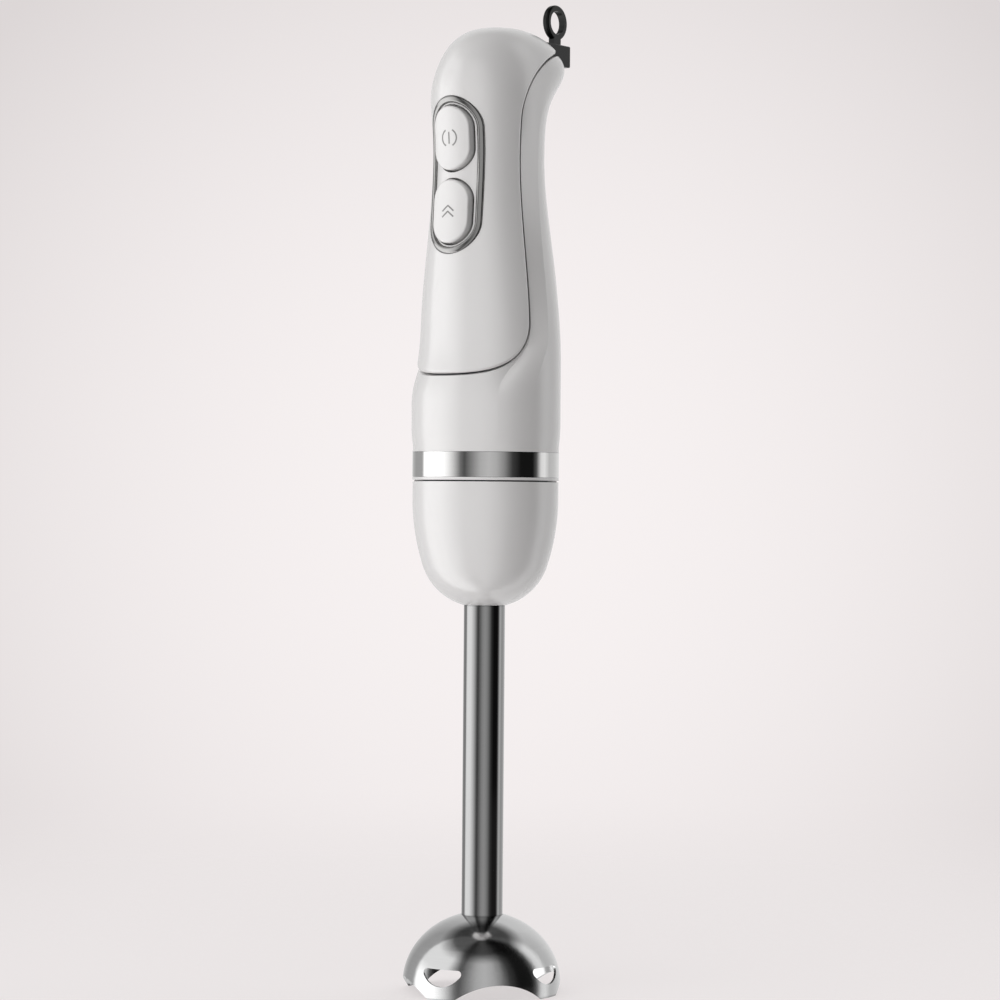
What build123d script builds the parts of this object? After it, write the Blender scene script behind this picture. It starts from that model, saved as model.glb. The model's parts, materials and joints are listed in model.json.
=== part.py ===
from build123d import *
import os
from math import asin, cos, degrees, radians, sin, sqrt

# Immersion blender: a motor handle with two push buttons over a twist-off steel blending leg.
# Millimetres. +Z runs up the blade axis, Z = 0 is the plane the guard stands on, the buttons face -Y.

# Fits
running_fit = 0.03      # shaft in its bush, on the radius
slip_fit = 0.1          # pieces put together by hand, per side
moving_gap = 0.3        # pieces that travel past each other, per side

# Blade guard, a pressed steel bell
guard_radius = 31.6
guard_dome = 28.6
guard_skirt = 3.0
guard_sheet = 0.9
guard_turn = 4.5        # degrees the guard is welded round from the handle's front
guard_slots = 4
slot_width = 19.6
slot_low = 5.2
slot_high = 11.9
slot_corner = 1.6
scallop_width = 35.4
scallop_height = 6.5

# Tube and the leg's white cup
tube_radius = 8.25
tube_wall = 0.8
tube_exposed = 123.8
cup_radius = 29.2
cup_height = 49.2
cup_straight = 6.6
cup_side_arc = 87.0
cup_side_turn = 18.1    # degrees
cup_end_turn = 73.6     # degrees from the side's top to the shoulder's end
cup_wall = 2.4

# Leg socket and the handle's neck, joined by a three-lug bayonet
joint_gap = 0.6
neck_radius = 20.5
neck_wall = 2.5
neck_length = 14.6
neck_plate = 3.0
neck_floor_gap = 2.6
socket_floor = 3.0
socket_flange = 4.0
boss_wall = 3.2
boss_clear = 3.5
lug_count = 3
lug_angle = 14.0
lug_reach = 1.9
lug_height = 3.0
lug_rise = 1.4
lock_angle = 25.0
seal_width = 2.0
tube_seal_width = 1.9
tube_seal_height = 2.0

# Handle body
body_radius = 29.8
foot_radius = 29.3
foot_wall = 1.9
lip_height = 1.1
band_height = 10.1
band_thickness = 1.0
shell_wall = 2.6
grip_half_width = 20.5
grip_front = 24.1
grip_rear = 26.0
cover_half_width = 26.8
cover_front = 26.2
cover_flare = 1.9
head_half_width = 21.2
head_front = 26.0
beak_reach = 43.5
apex_reach = 12.0
dome_fullness = 0.35    # power of the dome's outline, 0.5 would be an ellipse
barrel_seam = 45.0      # degrees from the front where the facet starts on the round barrel
barrel_crease = 75.0    # degrees from the front where it ends

# Heights in the handle, above its foot
barrel_top = 22.0
facet_low = 32.0
facet_high = 58.0
flare_low = 36.0
flare_high = 60.0
body_taper_low = 46.0
cover_taper_low = 53.0
front_taper_low = 66.0
rear_taper_low = 80.0
grip_waist = 129.8
head_shoulder = 153.8
beak_height = 167.8
dome_rise = 14.0

# Seam between front cover and rear housing, and the facet beside it, seen from the side
seam_gap = 0.7
seam_roll = 1.2         # rounded edge of the cover
seam_tip = 41.0
tongue_fade = 46.0
seam_side = 62.8
seam_front_reach = -32.0
seam_low_reach = -5.4
seam_high_reach = -4.6
seam_turn = 143.0
seam_rise = 5.9         # end of the seam above the beak
seam_inside = 1.5       # and in front of it
crease_low_reach = 1.7
crease_high_reach = 6.8
crease_end = 0.9        # share of the way from the seam to the back where the crease runs out
facet_inset = 0.9
blank_reach = 11.5      # how far the housing's blank reaches in front of the seam before it is cut

# Button panel on the front
panel_height = 120.2
button_length = 25.2
button_width = 16.8
button_gap = 3.7
button_margin = 1.5
button_proud = 1.9
button_wall = 1.6
button_lip = 1.6
button_clear = 0.8      # open gap round each button
button_edge = 1.0
button_rim = 1.0
button_travel = 1.5
bezel_band = 2.7
bezel_proud = 0.6
bezel_roll = 0.9
panel_recess = 0.6
panel_flange = 3.0
panel_thickness = 1.6

# Switches and circuit board behind the buttons
board_setback = 13.5
board_thickness = 1.6
board_width = 20.0
board_margin = 7.0
board_boss = 2.2
switch_length = 12.8
switch_width = 5.8
switch_depth = 5.8
plunger_radius = 1.35
plunger_length = 3.4
stem_radius = 1.8
spring_radius = 2.6
spring_wire = 0.6
spring_turns = 4
screw_radius = 1.2
screw_length = 8.0

# Hanging loop and cord gland at the beak
gland_width = 8.0
gland_height = 8.8
gland_lift = 2.8
gland_inside = 11.5
gland_outside = 8.0
gland_edge = 0.6
cord_lift = 3.8
cord_bore = 2.9
loop_behind = 2.2
loop_lift = 9.4
loop_radius = 7.2
loop_bore = 4.9
loop_thickness = 2.8
loop_roll = 0.9
loop_neck = 4.6
loop_tenon = 1.4

# Motor
motor_clearance = 0.6
motor_shaft_radius = 3.0
stator_length = 30.0
yoke_thickness = 3.0
pole_width = 14.0
pole_shoe = 2.2
pole_shoe_angle = 55.0
air_gap = 0.6
coil_depth = 4.3
coil_angle = 50.0
coil_end = 4.0
armature_slots = 12
armature_slot_width = 2.2
armature_slot_depth = 5.0
winding_step = 1.0
commutator_radius = 9.0
commutator_length = 10.0
commutator_bars = 16
bearing_radius = 6.0
bearing_length = 5.4
bearing_wall = 2.2
bracket_plate = 3.0
bracket_clear = 1.0
bracket_post = 4.5
bridge_width = 12.0
bridge_gap = 2.0
brush_width = 5.0
brush_height = 6.0
brush_length = 8.0
holder_wall = 1.4
fan_clearance = 2.8
fan_height = 6.6
fan_disc = 1.2
fan_blades = 9
bolt_radius = 1.1
bolt_head = 1.8
bolt_turn = 45.0        # degrees from the poles to the bolts
vent_count = 4
vent_angle = 60.0
fan_lean = 12.0         # degrees
damper_height = 5.0
damper_wall = 2.4
upper_boss_height = 4.0
boss_count = 3
boss_radius = 3.2
boss_turn = 60.0        # degrees from the side to the first boss
screw_head = 1.95

# Leg drive line
drive_radius = 2.5
bush_radius = 4.5
bush_length = 10.0
dog_radius = 6.2
dog_core = 4.8
dog_teeth = 6
dog_tooth = 2.2
dog_length = 10.0
dog_clearance = 0.25
coupling_wall = 2.5
coupling_length = 13.4
clip_radius = 4.0
clip_thickness = 0.8

# Blade and the hub that carries it inside the guard
hub_radius = 9.0
hub_low_radius = 7.4
hub_length = 13.7
hub_spigot = 12.6
shaft_seal_radius = 5.6
shaft_seal_height = 4.4
blade_radius = 22.5
blade_sheet = 1.2
blade_level = 10.0
blade_root = 10.0
blade_upsweep = 18.0    # degrees
blade_downsweep = 12.0  # degrees
collar_radius = 4.8
nut_flats = 7.0
nut_height = 2.6
blade_belly = 1.3       # share of half the root width, at mid length
blade_tip = 0.3

# Loft stations: counts along the straight parts, degrees round the curved ends
head_steps = 11
dome_stations = (0, 15, 29, 42, 54, 65, 75, 82, 87)
panel_steps = 9
housing_steps = 26
beak_stations = (10, 20, 30, 40, 49, 57, 64, 70, 75, 79)

# Levels of the leg
guard_top = guard_skirt + guard_dome * sqrt(1 - (tube_radius / guard_radius) ** 2)
hub_top = guard_top - guard_sheet - moving_gap
hub_low = hub_top - hub_length
spigot_top = hub_top + hub_spigot
cup_bottom = guard_top + tube_exposed
cup_top = cup_bottom + cup_height
cup_side_drop = cup_side_arc * sin(radians(cup_side_turn))
cup_shoulder_drop = sin(radians(cup_end_turn)) - sin(radians(cup_side_turn))
cup_shoulder_arc = (cup_height - cup_straight - cup_side_drop) / cup_shoulder_drop
socket_top = cup_top - joint_gap
foot = cup_top + joint_gap
neck_end = foot - neck_length
socket_floor_top = neck_end - neck_floor_gap
socket_floor_low = socket_floor_top - socket_floor
boss_low = cup_bottom + cup_wall + boss_clear
bush_high = socket_floor_low - slip_fit
tube_top = bush_high - bush_length - 2 * clip_thickness
coupling_low = neck_end + slip_fit
dog_low = socket_floor_top + moving_gap

# Radii that fit inside one another
tube_inner = tube_radius - tube_wall
foot_bore = foot_radius - band_thickness - slip_fit - foot_wall
body_bore = body_radius - shell_wall
boss_reach = foot_bore - 2 * boss_radius / 3
socket_bore = neck_radius + moving_gap
lug_tip = neck_radius + lug_reach
groove_radius = lug_tip + moving_gap
coupling_radius = dog_radius + dog_clearance + coupling_wall
stator_radius = cover_half_width - shell_wall - motor_clearance
yoke_inner = stator_radius - yoke_thickness
shoe_outer = yoke_inner - coil_depth
pole_bore = shoe_outer - pole_shoe
armature_radius = pole_bore - air_gap
winding_radius = armature_radius - winding_step
fan_radius = boss_reach - boss_radius - fan_clearance
bearing_boss = bearing_radius + bearing_wall

# Levels of the motor, from the handle's foot up
foot_height = lip_height + band_height
plate_top = foot + neck_plate
fan_low = plate_top + fan_disc
fan_top = fan_low + fan_height
bracket_low = fan_top + bearing_length - bracket_plate + 2 * bracket_clear
bracket_high = bracket_low + bracket_plate
lower_boss_low = bracket_high - bearing_length - bracket_clear
stator_low = bracket_high + coil_end + bracket_clear
stator_high = stator_low + stator_length
ring_low = stator_high + coil_end + bracket_clear
ring_high = ring_low + bracket_plate
commutator_low = ring_low + bracket_clear
commutator_high = commutator_low + commutator_length
brush_level = ring_high + holder_wall + brush_height / 2
bridge_low = commutator_high + bridge_gap
bridge_high = bridge_low + bracket_plate
upper_boss_top = bridge_high + upper_boss_height

# Places at the head, above the foot and behind the axis
head_height = beak_height + dome_rise
gland_low = beak_height + gland_lift
gland_high = gland_low + gland_height
gland_inner = beak_reach - gland_inside
gland_outer = beak_reach + gland_outside
cord_height = gland_low + cord_lift
loop_reach = beak_reach + loop_behind
loop_height = gland_high + loop_lift
seam_top = beak_height + seam_rise
seam_end = beak_reach - seam_inside

# Places on the front panel
button_pitch = button_length + button_gap
bezel_length = 2 * button_length + button_gap + 2 * (button_margin + bezel_band)
bezel_width = button_width + 2 * (button_margin + bezel_band)
panel_level = foot + panel_height
power_level = panel_level + button_pitch / 2
turbo_level = panel_level - button_pitch / 2
board_front = board_setback - grip_front
board_length = bezel_length + 2 * board_margin
board_hole = bezel_length / 2 + board_margin / 2
switch_front = board_front - switch_depth
plunger_tip = button_travel + moving_gap - switch_front
panel_back = panel_recess + shell_wall + panel_thickness


def ease(t):
    """Smooth step from 0 to 1."""
    t = min(max(t, 0.0), 1.0)
    return t * t * (3 - 2 * t)


def blend(a, b, t):
    return a + (b - a) * t


def cylinder(radius, low, high, x=0.0, y=0.0):
    """Upright cylinder between two levels."""
    return Pos(x, y, low) * extrude(Circle(radius), high - low)


def tube(outer, inner, low, high):
    return cylinder(outer, low, high) - cylinder(inner, low - 1, high + 1)


def block(x0, x1, y0, y1, z0, z1):
    """Block between two corners."""
    return Pos((x0 + x1) / 2, (y0 + y1) / 2, (z0 + z1) / 2) * Box(x1 - x0, y1 - y0, z1 - z0)


def front_rod(radius, near, far, x, level):
    """Cylinder along Y between two distances in front of the axis."""
    return Pos(x, -near, level) * extrude(Plane.XZ * Circle(radius), far - near)


def turned(edges):
    """Solid of revolution about Z from edges drawn as (radius, level)."""
    return revolve(Plane.XZ * make_face(edges), Axis.Z)


def around(shape, count, start=0.0):
    """Copies of a shape spaced evenly about Z."""
    return [Rot(0, 0, start + 360 * i / count) * shape for i in range(count)]


def sector(outer, inner, half_angle, low, high, middle=0.0):
    """Part of a ring, centred on a direction given in degrees from +X."""
    reach = 2 * outer
    corner_x, corner_y = reach * cos(radians(half_angle)), reach * sin(radians(half_angle))
    wedge = make_face(Polyline((0, 0), (corner_x, -corner_y), (reach, 0), (corner_x, corner_y), (0, 0)))
    part = tube(outer, inner, low, high) & Pos(0, 0, low - 1) * extrude(wedge, high - low + 2)
    return Rot(0, 0, middle) * part


def front_prism(length, width, level):
    """Upright stadium running out from the axis past the handle's front."""
    outline = Pos(0, level) * (Rot(0, 0, 90) * SlotOverall(length, width))
    return extrude(Plane.XZ * outline, 2 * body_radius)


# Handle form: level sections whose sizes ease from the round body to the grip and on to the head


def flare_at(h):
    return cover_flare * (1 - ease((h - flare_low) / (flare_high - flare_low)))


def cover_half_at(h):
    taper = ease((h - cover_taper_low) / (grip_waist - cover_taper_low))
    swell = ease((h - grip_waist) / (head_shoulder - grip_waist))
    return flare_at(h) + blend(blend(cover_half_width, grip_half_width, taper), head_half_width, swell)


def cover_front_at(h):
    taper = ease((h - front_taper_low) / (grip_waist - front_taper_low))
    swell = ease((h - grip_waist) / (head_shoulder - grip_waist))
    return flare_at(h) + blend(blend(cover_front, grip_front, taper), head_front, swell)


def rear_at(h):
    taper = ease((h - rear_taper_low) / (grip_waist - rear_taper_low))
    rise = max(0.0, (h - grip_waist) / (beak_height - grip_waist))
    return blend(blend(body_radius, grip_rear, taper), beak_reach, ease(rise**2))


def head_section(h, inset):
    """Half width, front, rear and centre of the cover's form at a height above the foot."""
    if h <= head_shoulder:
        return cover_half_at(h) - inset, inset - cover_front_at(h), rear_at(h) - inset, 0.0
    dome = head_height - inset - head_shoulder
    shrink = (1 - ((h - head_shoulder) / dome) ** 2) ** dome_fullness
    half = (head_half_width - inset) * shrink
    front = apex_reach - (apex_reach + head_front - inset) * shrink
    rear = rear_at(h) - inset
    if h > beak_height:
        fall = (h - beak_height) / (head_height - inset - beak_height)
        rear = apex_reach + (beak_reach - apex_reach - inset) * sqrt(1 - fall**2)
    centre_share = head_front / (head_front + rear_at(head_shoulder))
    return half, front, rear, blend(front, rear, centre_share)


def egg(h, inset):
    """Section face, half an ellipse in front of its centre and half behind."""
    half, front, rear, centre = head_section(h, inset)
    edges = [
        EllipticalCenterArc((0, centre), half, centre - front, 180, arc_size=180),
        EllipticalCenterArc((0, centre), half, rear - centre, 0, arc_size=180),
    ]
    return Pos(0, 0, foot + h) * make_face(edges)


def head_form(inset, low):
    """The cover's outer form taken in by inset, from a height up, closed over the dome."""
    straight = [blend(low, head_shoulder, i / head_steps) for i in range(head_steps)]
    dome = head_height - inset - head_shoulder
    round_top = [head_shoulder + dome * sin(radians(a)) for a in dome_stations]
    return loft([egg(h, inset) for h in straight + round_top])


def front_form(inset):
    """The front of the same form over the button panel only."""
    low = panel_height - bezel_length / 2 - 3 * panel_flange
    heights = [blend(low, head_shoulder, i / panel_steps) for i in range(panel_steps + 1)]
    return loft([egg(h, inset) for h in heights + [head_shoulder + 2 * panel_flange]])


def cover_x_at(h, y):
    """Half width of the cover's form at a height above the foot and a place along Y."""
    half, front, rear, centre = head_section(h, 0)
    reach = centre - front if y < centre else rear - centre
    return half * sqrt(1 - ((y - centre) / reach) ** 2)


def seam_reach(h):
    """Where the seam crosses a height above the foot, as y."""
    if h <= seam_turn:
        return blend(seam_low_reach, seam_high_reach, (h - seam_side) / (seam_turn - seam_side))
    rise = (h - seam_turn) / (seam_top - seam_turn)
    return seam_end - (seam_end - seam_high_reach) * sqrt(1 - rise**2)


def head_rise(h):
    """Share of the way from the grip's waist up to the beak."""
    return min(max((h - grip_waist) / (beak_height - grip_waist), 0.0), 1.0)


def crease_reach(h):
    """Where the housing's crease crosses a height above the foot, as y."""
    if h <= grip_waist:
        return blend(crease_low_reach, crease_high_reach, (h - seam_side) / (grip_waist - seam_side))
    waist_seam = seam_reach(grip_waist)
    waist_share = (crease_high_reach - waist_seam) / (grip_rear - waist_seam)
    share = blend(waist_share, crease_end, head_rise(h) ** 3)
    return blend(seam_reach(h), head_section(h, 0)[2], share)


def housing_half_at(h):
    if h > grip_waist:
        return head_section(h, 0)[0]
    taper = ease((h - body_taper_low) / (grip_waist - body_taper_low))
    return blend(body_radius, grip_half_width, taper)


def housing_section(h):
    """Rear housing section: a round back and a flat facet each side, from the crease to the seam."""
    facet = ease((h - facet_low) / (facet_high - facet_low))
    barrel = blend(foot_radius, body_radius, ease((h - foot_height) / (barrel_top - foot_height)))
    half = barrel if h < barrel_top else housing_half_at(h)
    rear, centre = (barrel, 0.0) if h < barrel_top else head_section(h, 0)[2:]
    crease_y = blend(-barrel * cos(radians(barrel_crease)), crease_reach(h), facet)
    crease_sine = (crease_y - centre) / (rear - centre)
    crease_x = half * sqrt(1 - crease_sine**2)
    seam_y = blend(-barrel * cos(radians(barrel_seam)), seam_reach(h), facet)
    seam_x = blend(barrel * sin(radians(barrel_seam)), cover_x_at(h, seam_y) - facet_inset, facet)
    seam_turned, crease_turned = radians(barrel_seam - 90), radians(barrel_crease - 90)
    round_x = round_y = barrel
    if h > grip_waist:
        seam_turned, crease_turned = asin((seam_y - centre) / (rear - centre)), asin(crease_sine)
        round_x, round_y = half, rear - centre
    middle = (seam_turned + crease_turned) / 2
    outward = 1 / cos((crease_turned - seam_turned) / 2)
    flat = facet * (1 - head_rise(h)) ** 2
    mid_x = blend(round_x * outward * cos(middle), (crease_x + seam_x) / 2, flat)
    mid_y = blend(centre + round_y * outward * sin(middle), (crease_y + seam_y) / 2, flat)
    tongue = ease((h - facet_low) / (tongue_fade - facet_low))
    tongue_y = blend(-barrel, facet_inset / 4 - cover_front_at(h), tongue)
    front_y = blend(tongue_y, seam_y - blank_reach, ease((h - seam_side) / (grip_waist - seam_side)))
    crease_angle = degrees(asin(crease_sine))
    edges = [
        EllipticalCenterArc((0, centre), half, rear - centre, crease_angle, arc_size=180 - 2 * crease_angle),
        Bezier((-crease_x, crease_y), (-mid_x, mid_y), (-seam_x, seam_y)),
        ThreePointArc((-seam_x, seam_y), (0, front_y), (seam_x, seam_y)),
        Bezier((seam_x, seam_y), (mid_x, mid_y), (crease_x, crease_y)),
    ]
    return Pos(0, 0, foot + h) * make_face(edges)


def housing_form():
    """The rear housing's outer form from the trim band up past the seam's end."""
    straight = [blend(foot_height, seam_turn, i / housing_steps) for i in range(housing_steps + 1)]
    swept = [seam_turn + (seam_top - seam_turn) * sin(radians(a)) for a in beak_stations]
    last = housing_section(swept[-1])
    return loft([housing_section(h) for h in straight + swept] + [Pos(0, 0, seam_rise) * last])


def seam_region(grow):
    """Everything in front of and above the seam, moved back by a gap."""
    low_z, turn_z = foot + seam_side, foot + seam_turn
    tip_z, end_z = foot + seam_tip - grow, foot + seam_top - grow
    low_y, high_y = seam_low_reach + grow, seam_high_reach + grow
    far, top = 3 * body_radius, foot + 2 * head_height
    outside = [(seam_front_reach, tip_z), (-far, tip_z), (-far, top), (far, top)]
    tongue_x, tongue_z = low_y - seam_front_reach, low_z - tip_z
    edges = [
        EllipticalCenterArc((seam_front_reach, low_z), tongue_x, tongue_z, 0, arc_size=-90),
        Polyline(*outside, (far, end_z), (seam_end, end_z)),
        EllipticalCenterArc((seam_end, turn_z), seam_end - high_y, end_z - turn_z, 90, arc_size=90),
        Line((high_y, turn_z), (low_y, low_z)),
    ]
    return extrude(Plane.YZ * make_face(edges), far, both=True)


def gland_block(grow):
    """Cord gland's outer block, grown for the window it sits in."""
    return block(-gland_width / 2 - grow, gland_width / 2 + grow, gland_inner - grow, gland_outer + grow,
                 foot + gland_low - grow, foot + gland_high + grow)


# Handle shells and trim


def front_cover(cavity):
    """Grip cover from the tongue over the dome, with the panel opening and four board bosses."""
    cover = head_form(0, flare_low) & seam_region(-seam_gap / 2)
    cover = fillet(cover.edges(), seam_roll) - cavity
    skin = head_form(shell_wall / 2, flare_low)
    screw_end = screw_length - board_thickness - board_front
    for x, level in board_screw_places():
        cover += front_rod(board_boss, -board_front, head_front, x, level) & skin
        cover -= front_rod(screw_radius, -board_front, screw_end, x, level)
    cover -= front_prism(bezel_length, bezel_width, panel_level)
    return cover - gland_block(slip_fit)


def rear_housing(cavity):
    """Round foot, barrel and back of the handle in one moulding."""
    shell = housing_form() - seam_region(seam_gap / 2) - cavity
    shell += cylinder(foot_radius - band_thickness - slip_fit, foot, foot + foot_height)
    shell += cylinder(foot_radius, foot, foot + lip_height)
    shell -= cylinder(foot_bore, foot - 1, bracket_low)
    shell -= cylinder(body_bore, bracket_low, foot + facet_low + moving_gap)
    post = cylinder(boss_radius, plate_top, bracket_low, boss_reach)
    post -= cylinder(screw_radius, plate_top, plate_top + screw_length, boss_reach)
    shell += around(post, boss_count, boss_turn)
    shell += motor_rib()
    return shell - gland_block(slip_fit)


def motor_rib():
    """Shelf across the back of the handle, forked round the motor's upper damper."""
    low, high = bridge_high + slip_fit, upper_boss_top - slip_fit
    rib = block(-body_radius, body_radius, 0, body_radius, low, high)
    rib &= head_form(shell_wall / 2, flare_low)
    return rib - cylinder(bearing_boss + damper_wall + 2 * slip_fit, bridge_low, upper_boss_top + 1)


def trim_band():
    """Polished ring let into the foot of the handle."""
    low = foot + lip_height + slip_fit
    return tube(foot_radius, foot_radius - band_thickness, low, low + band_height - 2 * slip_fit)


def bezel_ring():
    """Oval trim ring round the button panel."""
    ring = front_prism(bezel_length - 2 * slip_fit, bezel_width - 2 * slip_fit, panel_level)
    ring -= front_prism(bezel_length - 2 * bezel_band, bezel_width - 2 * bezel_band, panel_level)
    ring &= front_form(-bezel_proud)
    ring = fillet(ring.faces().sort_by(Axis.Y)[0].edges(), bezel_roll)
    return ring - front_form(shell_wall)


def button_panel():
    """Oval floor inside the bezel, with a flange behind the cover and two button openings."""
    trim = 2 * (bezel_band + slip_fit)
    floor = front_prism(bezel_length - trim, bezel_width - trim, panel_level)
    flange = front_prism(bezel_length + 2 * panel_flange, bezel_width + 2 * panel_flange, panel_level)
    panel = (floor & front_form(panel_recess)) + (flange & front_form(shell_wall + slip_fit))
    panel -= front_form(panel_back)
    for level in (power_level, turbo_level):
        panel -= front_prism(button_length + 2 * button_clear, button_width + 2 * button_clear, level)
    return panel


def cord_gland():
    """Strain relief block at the beak, bored for the mains cord and slotted for the loop."""
    gland = fillet(gland_block(0).edges(), gland_edge)
    gland -= front_rod(cord_bore, -gland_outer, -gland_inner, 0, foot + cord_height)
    return gland - loop_tongue(slip_fit)


def loop_tongue(grow):
    """The loop's neck and tenon, grown for the slot it sits in."""
    return block(-loop_thickness / 2 - grow, loop_thickness / 2 + grow, loop_reach - loop_neck / 2 - grow,
                 loop_reach + loop_neck / 2 + grow, foot + gland_high - loop_tenon - grow,
                 foot + loop_height - (loop_radius + loop_bore) / 2)


def hanging_loop():
    """Ring to hang the handle by, standing on the gland."""
    centre = Pos(0, loop_reach, foot + loop_height)
    ring = extrude(Plane.YZ * Circle(loop_radius), loop_thickness / 2, both=True)
    ring = centre * fillet(ring.edges(), loop_roll) + loop_tongue(0)
    ring -= centre * extrude(Plane.YZ * Circle(loop_bore), loop_thickness, both=True)
    return ring


# Buttons, switches and board


def button_crown(level):
    """How far in front of the axis the inside of a button's top lies at its middle."""
    return cover_front_at(level - foot) + button_proud - button_wall


def button(level):
    """Hollow stadium cap with a retaining lip and a stem over its switch."""
    cap = front_prism(button_length, button_width, level) & front_form(-button_proud)
    cap = fillet(cap.faces().sort_by(Axis.Y)[0].edges(), button_edge)
    lip = front_prism(button_length + 2 * button_lip, button_width + 2 * button_lip, level)
    cap += lip & front_form(panel_back + slip_fit)
    cap -= front_form(panel_back + slip_fit + button_rim)
    hollow = front_prism(button_length - 2 * button_wall, button_width - 2 * button_wall, level)
    cap -= hollow & front_form(button_wall - button_proud)
    return cap + front_rod(stem_radius, plunger_tip, button_crown(level) + button_wall / 2, 0, level)


def plunger(level):
    """The switch's pin, which the button's stem pushes."""
    return front_rod(plunger_radius, plunger_tip - plunger_length, plunger_tip, 0, level)


def switch(level):
    """Micro switch on the board, bored for its pin."""
    body = block(-switch_width / 2, switch_width / 2, switch_front, board_front,
                 level - switch_length / 2, level + switch_length / 2)
    bore_end = plunger_tip - plunger_length - button_travel - moving_gap
    return body - front_rod(plunger_radius + slip_fit, bore_end, -switch_front, 0, level)


def return_spring(level):
    """Coil spring between a switch and the inside of its button."""
    low = -switch_front + spring_wire / 2 + slip_fit
    high = button_crown(level) - spring_wire / 2 - slip_fit
    path = Helix((high - low) / spring_turns, high - low, spring_radius)
    start = Plane(path @ 0, z_dir=path % 0)
    coil = sweep(start * Circle(spring_wire / 2), path=path)
    return Pos(0, -low, level) * (Rot(90, 0, 0) * coil)


def circuit_board():
    board = block(-board_width / 2, board_width / 2, board_front, board_front + board_thickness,
                  panel_level - board_length / 2, panel_level + board_length / 2)
    for x, level in board_screw_places():
        board -= front_rod(screw_radius + slip_fit, -body_radius, body_radius, x, level)
    return board


def board_screw_places():
    x = board_width / 2 - board_boss
    return [(side * x, panel_level + end * board_hole) for side in (-1, 1) for end in (-1, 1)]


def board_screws():
    """Four pan-head screws through the board into the cover's bosses."""
    back = -board_front - board_thickness
    screws = []
    for x, level in board_screw_places():
        shank = front_rod(screw_radius - slip_fit / 2, back, back + screw_length - slip_fit, x, level)
        screws.append(shank + front_rod(screw_head, back - screw_radius, back, x, level))
    return Compound(screws)


# Neck and motor


def coupling_neck():
    """End plate of the handle with the bayonet neck below it."""
    neck = cylinder(foot_bore - slip_fit, foot, plate_top) + cylinder(neck_radius, neck_end, foot)
    neck -= cylinder(neck_radius - neck_wall, neck_end - 1, foot)
    neck -= cylinder(motor_shaft_radius + moving_gap, foot - 1, plate_top + 1)
    lug = sector(lug_tip, neck_radius - neck_wall / 2, lug_angle / 2, neck_end + lug_rise,
                 neck_end + lug_rise + lug_height)
    neck += around(lug, lug_count)
    hole = cylinder(screw_radius + slip_fit, foot - 1, plate_top + 1, boss_reach)
    hole += cylinder(screw_head + slip_fit, foot - 1, foot + neck_plate / 2, boss_reach)
    return neck - around(hole, boss_count, boss_turn)


def neck_screws():
    """Screws that hold the end plate to the housing's posts."""
    shoulder, end = foot + neck_plate / 2, plate_top + screw_length - slip_fit
    screw = cylinder(screw_radius - slip_fit / 2, shoulder, end, boss_reach)
    screw += cylinder(screw_head, foot + slip_fit, shoulder, boss_reach)
    return Compound(around(screw, boss_count, boss_turn))


def bolt_holes(radius, low, high):
    """Two upright cylinders through the yoke, midway between the poles and the brushes."""
    reach = stator_radius - yoke_thickness / 2 - slip_fit
    return around(cylinder(radius, low, high, reach), 2, bolt_turn)


def lower_bracket():
    """Vented cup under the stator that carries the lower bearing."""
    cup = cylinder(stator_radius, bracket_low, stator_low)
    cup -= cylinder(yoke_inner, bracket_high, stator_low + 1)
    cup += cylinder(bearing_boss, lower_boss_low, bracket_high)
    cup -= cylinder(bearing_radius + slip_fit / 2, bracket_high - bearing_length, bracket_high + 1)
    cup -= cylinder(motor_shaft_radius + moving_gap, lower_boss_low - 1, bracket_high)
    outer, inner = yoke_inner - bracket_clear, bearing_boss + bracket_clear
    vent = sector(outer, inner, vent_angle / 2, bracket_low - 1, bracket_high + 1)
    cup -= around(vent, vent_count, bolt_turn)
    return cup - bolt_holes(bolt_radius + slip_fit, bracket_low - 1, stator_low + 1)


def upper_bracket():
    """Ring on the stator with two posts and a bridge that carries the upper bearing."""
    ring = tube(stator_radius, yoke_inner, stator_high, ring_low)
    ring += tube(stator_radius, pole_bore + bracket_clear, ring_low, ring_high)
    half = bridge_width / 2
    ring += around(block(yoke_inner - bracket_post, yoke_inner, -half, half, ring_low, bridge_high), 2)
    ring += block(-yoke_inner, yoke_inner, -half, half, bridge_low, bridge_high)
    ring += cylinder(bearing_boss, bridge_low, upper_boss_top)
    ring -= cylinder(bearing_radius + slip_fit / 2, bridge_low - 1, bridge_low + bearing_length)
    return ring - bolt_holes(bolt_radius + slip_fit, stator_high - 1, ring_high + 1)


def motor_bolts():
    """Two long bolts that clamp the brackets on the stator."""
    shanks = bolt_holes(bolt_radius, bracket_low, ring_high + bolt_radius)
    heads = bolt_holes(bolt_head, bracket_low - bracket_clear, bracket_low)
    nuts = bolt_holes(bolt_head, ring_high, ring_high + bolt_head)
    return Compound([shank + head + nut for shank, head, nut in zip(shanks, heads, nuts)])


def stator_core():
    """Laminated ring with two pole shoes."""
    core = tube(stator_radius, yoke_inner, stator_low, stator_high)
    half = pole_width / 2
    pole = block(pole_bore + pole_shoe / 2, yoke_inner + 1, -half, half, stator_low, stator_high)
    for side in (0, 180):
        core += Rot(0, 0, side) * pole
        core += sector(shoe_outer, pole_bore, pole_shoe_angle, stator_low, stator_high, side)
    core -= cylinder(pole_bore, stator_low - 1, stator_high + 1)
    return core - bolt_holes(bolt_radius + slip_fit, stator_low - 1, stator_high + 1)


def field_coils():
    """Two windings, one round each pole."""
    outer, inner = yoke_inner - moving_gap, shoe_outer + moving_gap
    coil = sector(outer, inner, coil_angle, stator_low - coil_end, stator_high + coil_end)
    pole = pole_width / 2 + moving_gap
    coil -= block(0, stator_radius, -pole, pole, stator_low - moving_gap, stator_high + moving_gap)
    return Compound([coil, Rot(0, 0, 180) * coil])


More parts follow.
